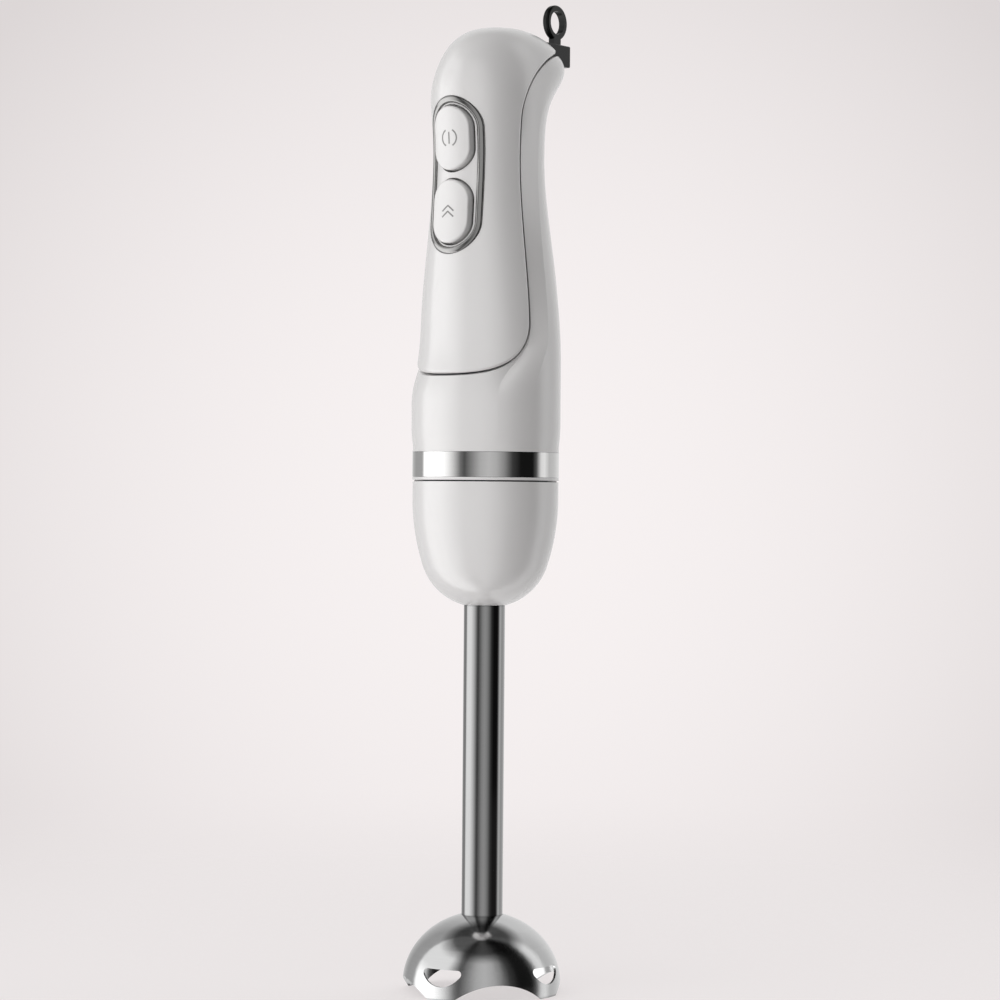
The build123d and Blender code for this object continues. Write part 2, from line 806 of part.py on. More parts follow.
def motor_bearing(low):
    return tube(bearing_radius, motor_shaft_radius + running_fit, low, low + bearing_length - slip_fit)


def lower_damper():
    """Rubber ring between the lower bracket and the barrel."""
    low, high = bracket_low + slip_fit, bracket_low + damper_height
    return tube(body_bore - slip_fit, stator_radius + slip_fit, low, high)


def upper_damper():
    """Rubber ring between the upper bearing boss and the housing's rib."""
    low, high = bridge_high + slip_fit, upper_boss_top - slip_fit
    return tube(bearing_boss + damper_wall, bearing_boss + slip_fit, low, high)


def brush_holder(grow, near, far):
    half, rise = brush_width / 2 + grow, brush_height / 2 + grow
    return block(-half, half, near, far, brush_level - rise, brush_level + rise)


def brush_holders():
    """Two sleeves on the upper bracket's ring."""
    near, far = commutator_radius + bracket_clear, yoke_inner
    sleeve = brush_holder(holder_wall, near, far) - brush_holder(slip_fit, near - 1, far - holder_wall)
    return Compound([sleeve, Rot(0, 0, 180) * sleeve])


def carbon_brushes():
    """Two carbon blocks that ride on the commutator."""
    brush = brush_holder(0, commutator_radius / 2, commutator_radius + brush_length)
    brush -= cylinder(commutator_radius + slip_fit, commutator_low, commutator_high)
    return Compound([brush, Rot(0, 0, 180) * brush])


# Rotor


def motor_shaft():
    low, high = dog_low + dog_length + 2 * moving_gap, bridge_low + bearing_length - slip_fit
    return cylinder(motor_shaft_radius, low, high)


def bored(shape, low, high):
    """A piece pressed on the motor shaft."""
    return shape - cylinder(motor_shaft_radius + running_fit, low - 1, high + 1)


def armature_core():
    """Slotted lamination stack."""
    core = cylinder(armature_radius, stator_low, stator_high)
    slot = block(armature_radius - armature_slot_depth, armature_radius + 1, -armature_slot_width / 2,
                 armature_slot_width / 2, stator_low - 1, stator_high + 1)
    core -= around(slot, armature_slots)
    return bored(core, stator_low, stator_high)


def armature_winding():
    """End turns above and below the stack."""
    height = coil_end - moving_gap
    ends = []
    for low in (stator_low - height - slip_fit, stator_high + slip_fit):
        end = cylinder(winding_radius, low, low + height)
        end = fillet(end.edges().filter_by(GeomType.CIRCLE), height / 3)
        ends.append(bored(end, low, low + height))
    return Compound(ends)


def commutator():
    """Copper drum split into bars."""
    drum = cylinder(commutator_radius, commutator_low, commutator_high)
    drum += cylinder(commutator_radius + bracket_clear, commutator_low, commutator_low + bracket_clear)
    near, far = commutator_radius - bracket_clear, commutator_radius + 2 * bracket_clear
    split = block(near, far, -slip_fit, slip_fit, commutator_low - 1, commutator_high - bracket_clear)
    drum -= around(split, commutator_bars)
    return bored(drum, commutator_low, commutator_high)


def cooling_fan():
    """Radial fan over the end plate."""
    fan = cylinder(fan_radius, fan_low, fan_low + fan_disc)
    fan += cylinder(2 * motor_shaft_radius, fan_low, fan_top)
    root = 1.5 * motor_shaft_radius
    vane = block(0, fan_radius, -fan_disc / 2, fan_disc / 2, fan_low, fan_top)
    vane = Pos(root, 0, 0) * (Rot(0, 0, fan_lean) * vane)
    fan += around(vane & cylinder(fan_radius, fan_low, fan_top), fan_blades)
    return bored(fan, fan_low, fan_top)


def spline(core, tip, tooth, low, high):
    """Toothed drive section."""
    key = block(0, 2 * tip, -tooth / 2, tooth / 2, low, high) & cylinder(tip, low, high)
    return cylinder(core, low, high) + around(key, dog_teeth)


def drive_coupling():
    """Toothed socket on the motor shaft that the leg's dog drops out of."""
    high = coupling_low + coupling_length
    body = bored(cylinder(coupling_radius, coupling_low, high), coupling_low, high)
    core, tip, tooth = dog_core + dog_clearance, dog_radius + dog_clearance, dog_tooth + 2 * dog_clearance
    return body - spline(core, tip, tooth, coupling_low - 1, dog_low + dog_length + moving_gap)


# Leg


def coupling_seal():
    """Gasket between leg and handle."""
    inner = groove_radius + slip_fit
    return tube(inner + seal_width, inner, socket_top + slip_fit, foot - slip_fit)


def cup_side(inset):
    """Cup's solid form taken in by inset: straight lip, long side arc, round shoulder."""
    start = (cup_radius - inset, cup_top - cup_straight)
    side = JernArc(start, (0, -1), cup_side_arc - inset, -cup_side_turn)
    centre_z = start[1] - (cup_side_arc - cup_shoulder_arc) * sin(radians(cup_side_turn))
    bottom = cup_bottom + inset
    turn = degrees(asin((centre_z - bottom) / (cup_shoulder_arc - inset))) - cup_side_turn
    shoulder = JernArc(side @ 1, side % 1, cup_shoulder_arc - inset, -turn)
    edges = [Line((0, cup_top + inset), (cup_radius - inset, cup_top + inset)),
             Line((cup_radius - inset, cup_top + inset), start), side, shoulder,
             Polyline(shoulder @ 1, (0, bottom), (0, cup_top + inset))]
    return turned(edges)


def leg_cup():
    """White outer cup of the leg."""
    return cup_side(0) - cup_side(cup_wall) - cylinder(tube_radius + slip_fit, cup_bottom - 1, cup_top)


def socket_radius():
    """Largest radius that clears the cup's inside down to the socket's floor."""
    drop = (cup_top - cup_straight - socket_floor_low) / (cup_side_arc - cup_wall)
    return cup_radius - cup_wall - (cup_side_arc - cup_wall) * (1 - sqrt(1 - drop**2)) - slip_fit


def leg_socket():
    """Inner moulding of the leg: bayonet socket above, tube boss below."""
    socket = cylinder(socket_radius(), socket_floor_low, socket_top)
    socket += cylinder(cup_radius - cup_wall - slip_fit, socket_top - socket_flange, socket_top)
    socket -= cylinder(socket_bore, socket_floor_top, socket_top + 1)
    socket += cylinder(tube_radius + boss_wall, boss_low, socket_floor_top)
    socket -= cylinder(tube_radius + slip_fit, boss_low - 1, tube_top)
    socket -= cylinder(bush_radius + slip_fit / 2, boss_low, bush_high)
    socket -= cylinder(drive_radius + moving_gap, boss_low, socket_floor_top + 1)
    low, high = neck_end + lug_rise - moving_gap, neck_end + lug_rise + lug_height + moving_gap
    half = lug_angle / 2 + 1
    entry = sector(groove_radius, socket_bore - 1, half, low, socket_top + 1)
    lock = sector(groove_radius, socket_bore - 1, half + lock_angle / 2, low, high, -lock_angle / 2)
    return socket - around(entry, lug_count) - around(lock, lug_count)


def tube_seal():
    """Ring that seals the tube where it enters the cup."""
    inner, high = tube_radius + slip_fit / 2, boss_low - slip_fit
    return tube(inner + tube_seal_width, inner, high - tube_seal_height, high)


def shaft_tube():
    return tube(tube_radius, tube_inner, hub_top + slip_fit, tube_top - slip_fit)


def bell(inset):
    """Guard's solid form taken in by inset."""
    radius, top = guard_radius - inset, guard_skirt + guard_dome - inset
    edges = [Polyline((0, top), (0, -inset), (radius, -inset), (radius, guard_skirt)),
             EllipticalCenterArc((0, guard_skirt), radius, top - guard_skirt, 0, arc_size=90)]
    return turned(edges)


def blade_guard():
    """Bell with four feed slots, and a scalloped rim that leaves four feet."""
    guard = bell(0) - bell(guard_sheet) - cylinder(tube_radius + slip_fit / 2, 0, guard_top + guard_dome)
    half = slot_width / 2
    slot = make_face([ThreePointArc((-half, slot_high), (0, slot_low), (half, slot_high)),
                      Line((half, slot_high), (-half, slot_high))])
    slot = fillet(slot.vertices(), slot_corner)
    guard -= around(extrude(Plane.XZ * slot, 2 * guard_radius), guard_slots, guard_turn)
    half = scallop_width / 2
    arch = make_face([ThreePointArc((-half, 0), (0, scallop_height), (half, 0)),
                      Polyline((half, 0), (half, -1), (-half, -1), (-half, 0))])
    guard -= around(extrude(Plane.XZ * arch, 2 * guard_radius), guard_slots, guard_turn + 180 / guard_slots)
    return guard


def guard_hub():
    """Plastic hub in the tube's end that carries the lower bush and the shaft seal."""
    spigot = tube_inner - slip_fit
    hub = turned(Polyline((0, hub_low), (hub_low_radius, hub_low), (hub_radius, hub_top), (spigot, hub_top),
                          (spigot, spigot_top), (0, spigot_top), (0, hub_low)))
    hub -= cylinder(bush_radius + slip_fit / 2, spigot_top - bush_length, spigot_top + 1)
    hub -= cylinder(shaft_seal_radius + slip_fit / 2, hub_low - 1, hub_low + shaft_seal_height)
    return hub - cylinder(drive_radius + moving_gap, hub_low - 1, spigot_top)


def leg_bush(high):
    return tube(bush_radius, drive_radius + running_fit, high - bush_length + slip_fit, high - slip_fit)


def shaft_seal():
    high = hub_low + shaft_seal_height - slip_fit
    return tube(shaft_seal_radius, drive_radius + running_fit, hub_low, high)


# Blade drive


def drive_shaft():
    return cylinder(drive_radius, blade_level - nut_height, dog_low + dog_length / 2)


def shaft_mounted(shape, low, high):
    """A piece fixed on the leg's shaft."""
    return shape - cylinder(drive_radius + running_fit, low - 1, high + 1)


def drive_dog():
    """Toothed head of the leg's shaft, solid above the shaft's end."""
    dog = spline(dog_core, dog_radius, dog_tooth, dog_low, dog_low + dog_length)
    tip = dog.faces().sort_by(Axis.Z)[-1]
    dog = chamfer(tip.edges(), dog_clearance)
    return dog - cylinder(drive_radius + running_fit, dog_low - 1, dog_low + dog_length / 2)


def shaft_clip():
    """Retaining ring below the upper bush."""
    low = bush_high - bush_length - clip_thickness - slip_fit
    return shaft_mounted(cylinder(clip_radius, low, low + clip_thickness), low, low + clip_thickness)


def blade_wing(sweep_angle):
    """Sickle wing along +X, bent up from its root."""
    root, half, reach = collar_radius + moving_gap, blade_root / 2, blade_radius - collar_radius
    belly, tip = blade_belly * half, blade_tip * half
    outline = make_face([
        ThreePointArc((0, -half), (reach / 2, -belly), (reach, -tip)),
        ThreePointArc((reach, -tip), (reach / 2, tip), (0, half)),
        Line((0, half), (0, -half))])
    return Pos(root, 0, 0) * (Rot(0, -sweep_angle, 0) * extrude(outline, blade_sheet))


def blade():
    """Two-winged knife, one wing bent up and the other down."""
    root = collar_radius + moving_gap + blade_sheet / 2
    knife = block(-root, root, -blade_root / 2, blade_root / 2, 0, blade_sheet)
    knife += blade_wing(blade_upsweep)
    knife += Rot(0, 0, 180) * blade_wing(-blade_downsweep)
    return shaft_mounted(Pos(0, 0, blade_level) * knife, blade_level, blade_level + blade_sheet)


def blade_collar():
    """Spacer between blade and hub."""
    low, high = blade_level + blade_sheet, hub_low - moving_gap
    return shaft_mounted(cylinder(collar_radius, low, high), low, high)


def blade_nut():
    low = blade_level - nut_height
    nut = Pos(0, 0, low) * extrude(RegularPolygon(nut_flats / 2, 6, major_radius=False), nut_height)
    return shaft_mounted(nut, low, blade_level)


cavity = head_form(shell_wall, facet_low - moving_gap)

pieces = {
    "rear_housing": rear_housing(cavity),
    "front_cover": front_cover(cavity),
    "trim_band": trim_band(),
    "bezel_ring": bezel_ring(),
    "button_panel": button_panel(),
    "cord_gland": cord_gland(),
    "hanging_loop": hanging_loop(),
    "power_button": button(power_level),
    "turbo_button": button(turbo_level),
    "power_plunger": plunger(power_level),
    "turbo_plunger": plunger(turbo_level),
    "power_switch": switch(power_level),
    "turbo_switch": switch(turbo_level),
    "power_spring": return_spring(power_level),
    "turbo_spring": return_spring(turbo_level),
    "circuit_board": circuit_board(),
    "board_screws": board_screws(),
    "coupling_neck": coupling_neck(),
    "neck_screws": neck_screws(),
    "lower_bracket": lower_bracket(),
    "upper_bracket": upper_bracket(),
    "motor_bolts": motor_bolts(),
    "stator_core": stator_core(),
    "field_coils": field_coils(),
    "lower_bearing": motor_bearing(bracket_high - bearing_length),
    "upper_bearing": motor_bearing(bridge_low),
    "lower_damper": lower_damper(),
    "upper_damper": upper_damper(),
    "brush_holders": brush_holders(),
    "carbon_brushes": carbon_brushes(),
    "motor_shaft": motor_shaft(),
    "armature_core": armature_core(),
    "armature_winding": armature_winding(),
    "commutator": commutator(),
    "cooling_fan": cooling_fan(),
    "drive_coupling": drive_coupling(),
    "coupling_seal": coupling_seal(),
    "leg_cup": leg_cup(),
    "leg_socket": leg_socket(),
    "tube_seal": tube_seal(),
    "shaft_tube": shaft_tube(),
    "blade_guard": blade_guard(),
    "guard_hub": guard_hub(),
    "upper_leg_bush": leg_bush(bush_high),
    "lower_leg_bush": leg_bush(spigot_top),
    "shaft_seal": shaft_seal(),
    "drive_shaft": drive_shaft(),
    "drive_dog": drive_dog(),
    "shaft_clip": shaft_clip(),
    "blade": blade(),
    "blade_collar": blade_collar(),
    "blade_nut": blade_nut(),
}

os.makedirs("parts", exist_ok=True)
for name, shape in pieces.items():
    export_step(shape, f"parts/{name}.step")
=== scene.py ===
"""Looks of the immersion blender: finishes, marks, springs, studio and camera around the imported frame."""

import json
import math

import bpy
from mathutils import Matrix, Vector
from mathutils.bvhtree import BVHTree


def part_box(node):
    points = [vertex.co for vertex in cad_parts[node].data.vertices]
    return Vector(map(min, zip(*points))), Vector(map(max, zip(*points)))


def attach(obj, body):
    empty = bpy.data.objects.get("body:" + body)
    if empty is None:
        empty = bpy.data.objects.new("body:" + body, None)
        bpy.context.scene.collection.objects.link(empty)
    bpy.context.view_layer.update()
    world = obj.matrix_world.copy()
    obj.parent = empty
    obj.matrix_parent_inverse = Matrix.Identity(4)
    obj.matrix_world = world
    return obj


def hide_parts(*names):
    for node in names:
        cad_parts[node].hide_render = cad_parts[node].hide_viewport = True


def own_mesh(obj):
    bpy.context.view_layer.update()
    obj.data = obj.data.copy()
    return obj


MM = 0.001

# Photograph's view, in metres and degrees, with lens and sensor in millimetres
CAMERA_AZIMUTH = 36.0
CAMERA_DISTANCE = 1.29
CAMERA_HEIGHT = 0.1964
CAMERA_RIGHT = 0.00585
CAMERA_ROLL = 0.47
CAMERA_LENS = 116.0
SENSOR_WIDTH = 36.0

# Inputs and outputs of the Mix node, which has a set for each kind of value
MIX_FACTOR = 0
MIX_NUMBERS = (2, 3)
MIX_NUMBER = 0
MIX_COLOURS = (6, 7)
MIX_COLOUR = 2

# Painted shade in gaps, which darkens the colour with depth
PAINTED_SHADE_DEPTH = 1.6 * MM
PAINTED_SHADE_SAMPLES = 8
PAINTED_SHADE_RANGE = (0.25, 0.8)
PAINTED_GAP_SHADE = 0.05

# Finishes: patterns per metre, smears of roughness to either side, and shares in what makes gloss uneven
NOISE_SPAN = (0.3, 0.7)     # where most of a noise's values lie
PLASTIC_IOR = 1.52
PLASTIC_GRAIN = 0.35 * MM
PLASTIC_FLOW = 38.0
PLASTIC_CLOUD = 240.0
PLASTIC_CLOUD_SHARE = 0.6
PLASTIC_SMEAR = 0.015
BRUSH_ALONG = 1.2     # pattern per radian round the axis
BRUSH_ACROSS = 5200.0
BRUSH_DEPTH = 0.0012 * MM
BRUSH_TINTS = (0.93, 1.05)
BRUSH_CLOUD = 90.0
BRUSH_LINE_SHARE = 0.55
GRANULE_ROUGHNESS = 0.65
GRANULE_CLOUD = 110.0
GRANULE_SMEAR = 0.08
WAVE_PITCH = math.pi / 10     # metres from band to band of the Wave node at a scale of 1
LAYER_DISTORTION = 0.3
LAYER_CLOUD = 160.0
LAYER_SMEAR = 0.1
TRACK_CELLS = 330.0
TRACK_STRAYING = 0.35
TRACK_EDGE = (0.05, 0.09)
TRACK_HEIGHT = 0.02 * MM
TRACK_GREEN = (0.12, 0.33, 0.13)
MASK_GREEN = (0.03, 0.16, 0.06)
MASK_CLOUD = 700.0
MASK_ROUGHNESS = (0.35, 0.5)

# Dark rubber lip on the cup's rim, in the joint under the handle, which also paints shade into that joint
LIP_THICKNESS = 0.4 * MM
LIP_INSET = 0.7 * MM
LIP_CLEAR = 0.1 * MM
LIP_EDGE = 0.12 * MM
LIP_SIDES = 128

# Buttons and the raised marks on them
MARK_WIDTH = 0.55 * MM
MARK_PROUD = 0.06 * MM
MARK_ROOT = 0.15 * MM
MARK_STEP = 0.25 * MM
MARK_RAY_START = -100 * MM     # in front of the handle
POWER_RADIUS = 3.4 * MM
POWER_GAP = 28.0
POWER_STEPS = 24
POWER_BAR = 4.6 * MM
CHEVRON_WIDTH = 5.4 * MM
CHEVRON_RISE = 2.2 * MM
CHEVRON_PITCH = 2.3 * MM

# Brightness that glossy surfaces reflect, by degrees from the camera, positive to the picture's right.
# A fade runs between two heights, each the Z of a direction of length 1.
MIRRORED = [
    # Grey room behind the object
    (-180, 0.8), (-160, 0.6), (-142, 0.45), (-118, 0.5),
    # Wide bright panel on the left, fading towards the camera
    (-112, 1.7), (-100, 2.0), (-78, 1.95), (-61, 1.3), (-54, 0.95), (-47, 0.58), (-40, 0.22), (-33, 0.1),
    # Dim panel round the camera
    (-20, 0.34), (-8, 0.6), (5, 0.7), (17, 0.6), (30, 0.34), (37, 0.16),
    # Black screen on the right
    (43, 0.06), (57, 0.01), (80, 0.01), (88, 0.12),
    # Bright strip beside it, and the grey room again
    (98, 1.0), (108, 1.12), (119, 0.68), (133, 0.72), (153, 0.85), (180, 0.8),
]
MIRRORED_TOP = 0.11     # share of the same brightness overhead
MIRRORED_FADE = (0.70, 0.88)
MIRRORED_LIMIT = (2.0, 1.15)     # brightest panel at eye level and higher up
MIRRORED_LIMIT_FADE = (0.10, 0.40)

# Brightness that lights matt surfaces, by the same degrees
LIGHTING = [
    # Soft light from behind on the left
    (-180, 1.3), (-160, 1.45), (-145, 1.5), (-130, 1.2), (-120, 0.8),
    # Dark side on the left
    (-110, 0.35), (-100, 0.1), (-90, 0.2), (-80, 0.6),
    # Main light, left of the camera
    (-70, 1.15), (-60, 1.6), (-50, 1.8), (-40, 1.75), (-30, 1.55), (-20, 1.3), (-10, 1.0), (0, 0.65),
    # Weak light right of the camera, down to none
    (15, 0.3), (35, 0.22), (50, 0.15), (65, 0.0), (85, 0.0),
    # Edge light from behind on the right
    (100, 0.5), (110, 1.15), (120, 1.6), (130, 1.75), (150, 1.5), (180, 1.3),
]
LIGHTING_TOP = 0.66     # brightness overhead
LIGHTING_FADE = (0.50, 0.95)

# Backdrop and floor
BACKDROP_MIDDLE = (0.93, 0.885, 0.885)
BACKDROP_EDGE = (0.72, 0.68, 0.68)
BACKDROP_SPREAD = 0.022
FLOOR_RADIUS = 0.9
FLOOR_SIDES = 96
FLOOR_CLEAR = 0.12     # radius where the floor starts to fade
FLOOR_GRAIN = 900.0
FLOOR_TINTS = ((0.79, 0.76, 0.76), (0.81, 0.78, 0.78))
FLOOR_GLOW = 0.62     # share of the backdrop's own brightness
FLOOR_UNLIT = 0.72     # share of light and shadow that passes through
FLOOR_MIRRORED = 0.02     # share that shows in reflections


class Tree:
    """Short hand for adding shader nodes to one node tree."""

    def __init__(self, tree):
        self.tree = tree
        tree.nodes.clear()

    def add(self, kind, values=(), **settings):
        """Adds a node. settings are its properties, and values are {input: number, colour or socket}."""
        node = self.tree.nodes.new(kind)
        for key, value in settings.items():
            setattr(node, key, value)
        for key, value in dict(values).items():
            if isinstance(value, bpy.types.NodeSocket):
                self.tree.links.new(value, node.inputs[key])
            else:
                node.inputs[key].default_value = value
        return node

    def math(self, operation, a, b=0.0):
        return self.add("ShaderNodeMath", {0: a, 1: b}, operation=operation).outputs[0]

    def dot(self, vector, direction):
        node = self.add("ShaderNodeVectorMath", {0: vector, 1: direction}, operation="DOT_PRODUCT")
        return node.outputs["Value"]

    def position(self):
        return self.add("ShaderNodeTexCoord").outputs["Object"]

    def noise(self, scale, detail=3.0, vector=None, roughness=0.5):
        vector = vector or self.position()
        values = {"Vector": vector, "Scale": scale, "Detail": detail, "Roughness": roughness}
        return self.add("ShaderNodeTexNoise", values).outputs["Fac"]

    def span(self, value, low, high, start=0.0, end=1.0):
        """Maps start..end of a value to low..high."""
        values = {"Value": value, "From Min": start, "From Max": end, "To Min": low, "To Max": high}
        return self.add("ShaderNodeMapRange", values).outputs["Result"]

    def uneven(self, value, middle, smear):
        """Number that strays to either side of its middle with a noise."""
        return self.span(value, middle - smear, middle + smear, *NOISE_SPAN)

    def sum_of(self, a, b, share):
        """Sum of a share of one number and the rest of another."""
        return self.math("ADD", self.math("MULTIPLY", a, share), self.math("MULTIPLY", b, 1 - share))

    def between(self, factor, a, b):
        """Number between two by a factor."""
        values = {MIX_FACTOR: factor, **dict(zip(MIX_NUMBERS, (a, b)))}
        return self.add("ShaderNodeMix", values, data_type="FLOAT").outputs[MIX_NUMBER]

    def tint(self, factor, dark, light):
        """Colour between two, each three numbers or a socket, by a factor."""
        ends = [c if isinstance(c, bpy.types.NodeSocket) else (*c, 1.0) for c in (dark, light)]
        values = {MIX_FACTOR: factor, **dict(zip(MIX_COLOURS, ends))}
        return self.add("ShaderNodeMix", values, data_type="RGBA").outputs[MIX_COLOUR]

    def painted_shade_mask(self):
        """Mask for painted shade: how open a place is, from 0 deep in a gap, where the colour is darkened, to
        1.
        """
        node = self.add("ShaderNodeAmbientOcclusion", {"Distance": PAINTED_SHADE_DEPTH}, samples=PAINTED_SHADE_SAMPLES)
        return self.span(node.outputs["AO"], 0.0, 1.0, *PAINTED_SHADE_RANGE)

    def painted_gap_shade(self, colour):
        """Painted shade deep in a gap: colour nearly black on walls, and kept on ledges, which catch light.
        """
        normal = self.add("ShaderNodeNewGeometry").outputs["Normal"]
        facing = self.add("ShaderNodeSeparateXYZ", {0: normal}).outputs["Z"]
        return self.tint(self.math("ABSOLUTE", facing), shade(colour, PAINTED_GAP_SHADE), colour)

    def bump(self, height, distance):
        return self.add("ShaderNodeBump", {"Height": height, "Distance": distance}).outputs["Normal"]

    def surface(self, values):
        shader = self.add("ShaderNodeBsdfPrincipled", values)
        self.add("ShaderNodeOutputMaterial", {"Surface": shader.outputs[0]})


def new_material(name):
    made = bpy.data.materials.new(name)
    made.use_nodes = True
    return made, Tree(made.node_tree)


def grey(level):
    return (level, level, level)


def shade(colour, factor):
    return tuple(min(1.0, c * factor) for c in colour)


def moulded(name, colour, roughness, depth=0.0015 * MM, drift=0.006, sheen=0.5):
    """Moulded plastic: fine spark-eroded grain, faint flow mottling, uneven gloss, and painted shade that
    darkens gaps.
    """
    made, nodes = new_material(name)
    flow = nodes.noise(PLASTIC_FLOW, 2.0)
    cloud = nodes.noise(PLASTIC_CLOUD)
    fine = nodes.noise(1 / PLASTIC_GRAIN, 2.0)
    body = nodes.tint(flow, shade(colour, 1 - drift), shade(colour, 1 + drift))
    nodes.surface({
        # Painted shade: the colour darkens deep in gaps and creases.
        "Base Color": nodes.tint(nodes.painted_shade_mask(), nodes.painted_gap_shade(colour), body),
        "Roughness": nodes.uneven(nodes.sum_of(cloud, fine, PLASTIC_CLOUD_SHARE), roughness, PLASTIC_SMEAR),
        "IOR": PLASTIC_IOR,
        "Specular IOR Level": sheen,
        "Normal": nodes.bump(fine, depth),
    })
    return made


def around_axis(nodes):
    """Coordinates round the Z axis, in which a noise is drawn out into brush lines."""
    x, y, z = nodes.add("ShaderNodeSeparateXYZ", {0: nodes.position()}).outputs
    radius = nodes.math("SQRT", nodes.math("ADD", nodes.math("MULTIPLY", x, x), nodes.math("MULTIPLY", y, y)))
    turn = nodes.math("MULTIPLY", nodes.math("ARCTAN2", y, x), BRUSH_ALONG)
    level = nodes.math("MULTIPLY", nodes.math("ADD", z, radius), BRUSH_ACROSS)
    return nodes.add("ShaderNodeCombineXYZ", {0: turn, 1: level, 2: 0.0}).outputs[0]


def brushed(name, colour, roughness, smear=0.05):
    """Metal brushed round the Z axis, with cloudy handling marks and painted shade that darkens gaps."""
    made, nodes = new_material(name)
    lines = nodes.noise(1.0, vector=around_axis(nodes))
    cloud = nodes.noise(BRUSH_CLOUD, 4.0)
    body = nodes.tint(lines, *(shade(colour, factor) for factor in BRUSH_TINTS))
    nodes.surface({
        # Painted shade: the colour darkens deep in gaps and creases.
        "Base Color": nodes.tint(nodes.painted_shade_mask(), shade(colour, PAINTED_GAP_SHADE), body),
        "Metallic": 1.0,
        "Roughness": nodes.uneven(nodes.sum_of(lines, cloud, BRUSH_LINE_SHARE), roughness, smear),
        "Normal": nodes.bump(lines, BRUSH_DEPTH),
    })
    return made


def speckled(name, dark, light, metallic, roughness, grain, depth):
    """Granular stuff such as sintered bronze, carbon or rubber."""
    made, nodes = new_material(name)
    fine = nodes.noise(1 / grain, 4.0, roughness=GRANULE_ROUGHNESS)
    nodes.surface({
        "Base Color": nodes.tint(nodes.span(fine, 0.0, 1.0, *NOISE_SPAN), dark, light),
        "Metallic": metallic,
        "Roughness": nodes.uneven(nodes.noise(GRANULE_CLOUD), roughness, GRANULE_SMEAR),
        "Normal": nodes.bump(fine, depth),
    })
    return made


def layered(name, dark, light, metallic, roughness, pitch, depth):
    """Stacked or wound stuff such as laminations and coils, in even layers along Z."""
    made, nodes = new_material(name)
    values = {"Vector": nodes.position(), "Scale": WAVE_PITCH / pitch, "Distortion": LAYER_DISTORTION,
              "Detail": 1.0, "Detail Scale": 2.0}
    wave = nodes.add("ShaderNodeTexWave", values, wave_type="BANDS", bands_direction="Z").outputs["Fac"]
    nodes.surface({
        "Base Color": nodes.tint(wave, dark, light),
        "Metallic": metallic,
        "Roughness": nodes.uneven(nodes.noise(LAYER_CLOUD), roughness, LAYER_SMEAR),
        "Normal": nodes.bump(wave, depth),
    })
    return made


def board_laminate(name):
    """Green board with copper tracks showing through the mask."""
    made, nodes = new_material(name)
    values = {"Vector": nodes.position(), "Scale": TRACK_CELLS, "Randomness": TRACK_STRAYING}
    tracks = nodes.add("ShaderNodeTexVoronoi", values, feature="DISTANCE_TO_EDGE", distance="CHEBYCHEV")
    mask = nodes.span(tracks.outputs["Distance"], 0.0, 1.0, *TRACK_EDGE)
    nodes.surface({
        "Base Color": nodes.tint(mask, TRACK_GREEN, MASK_GREEN),
        "Roughness": nodes.span(nodes.noise(MASK_CLOUD), *MASK_ROUGHNESS),
        "Normal": nodes.bump(mask, TRACK_HEIGHT),
    })
    return made


def make_finishes():
    """Materials of the record's slots, by name, and the button marks' own."""
    recipes = {
        "white_plastic": (moulded, {"colour": (0.80, 0.785, 0.78), "roughness": 0.2, "sheen": 1.0}),
        "silver_trim": (brushed, {"colour": (0.34, 0.335, 0.33), "roughness": 0.15, "smear": 0.03}),
        "polished_band": (brushed, {"colour": (0.66, 0.655, 0.65), "roughness": 0.07, "smear": 0.02}),
        "blade_steel": (brushed, {"colour": grey(0.62), "roughness": 0.24}),
        "tube_steel": (brushed, {"colour": grey(0.34), "roughness": 0.08, "smear": 0.02}),
        "guard_steel": (brushed, {"colour": grey(0.6), "roughness": 0.13, "smear": 0.03}),
        "black_plastic": (moulded, {"colour": grey(0.006), "roughness": 0.16, "drift": 0.1, "sheen": 0.2}),
        "grey_plastic": (moulded, {"colour": grey(0.33), "roughness": 0.45, "depth": 0.008 * MM}),
        "seal_rubber": (speckled, {
            "dark": grey(0.018), "light": grey(0.05),
            "metallic": 0.0, "roughness": 0.75, "grain": 0.4 * MM, "depth": 0.02 * MM}),
        "lamination_steel": (layered, {
            "dark": (0.08, 0.08, 0.09), "light": (0.32, 0.32, 0.34),
            "metallic": 0.9, "roughness": 0.4, "pitch": 0.5 * MM, "depth": 0.05 * MM}),
        "copper_wire": (layered, {
            "dark": (0.30, 0.11, 0.04), "light": (0.78, 0.36, 0.17),
            "metallic": 0.9, "roughness": 0.32, "pitch": 0.45 * MM, "depth": 0.1 * MM}),
        "sintered_bronze": (speckled, {
            "dark": (0.32, 0.20, 0.08), "light": (0.66, 0.46, 0.22),
            "metallic": 0.9, "roughness": 0.42, "grain": 0.3 * MM, "depth": 0.02 * MM}),
        "brush_carbon": (speckled, {
            "dark": grey(0.01), "light": grey(0.06),
            "metallic": 0.1, "roughness": 0.6, "grain": 0.3 * MM, "depth": 0.01 * MM}),
        "board_laminate": (board_laminate, {}),
        "plated_screw": (speckled, {
            "dark": (0.50, 0.50, 0.48), "light": (0.68, 0.68, 0.64),
            "metallic": 1.0, "roughness": 0.3, "grain": 0.8 * MM, "depth": 0.003 * MM}),
        "mark_grey": (moulded, {"colour": (0.26, 0.255, 0.25), "roughness": 0.4}),
    }
    return {name: make(name, **settings) for name, (make, settings) in recipes.items()}


def dress_nodes(finishes):
    """Gives every CAD node its slot's material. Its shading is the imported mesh's own."""
    slots = {s["node"]: s["material_slot"] for s in frame["record"]["subparts"]}
    for name, node in frame["nodes"].items():
        node.data.materials.clear()
        node.data.materials.append(finishes[slots[name]])


def add_piece(name, vertices, faces, material):
    """New object from points and faces."""
    mesh = bpy.data.meshes.new(name)
    mesh.from_pydata(vertices, [], faces)
    mesh.materials.append(material)
    piece = bpy.data.objects.new(name, mesh)
    bpy.context.scene.collection.objects.link(piece)
    return piece


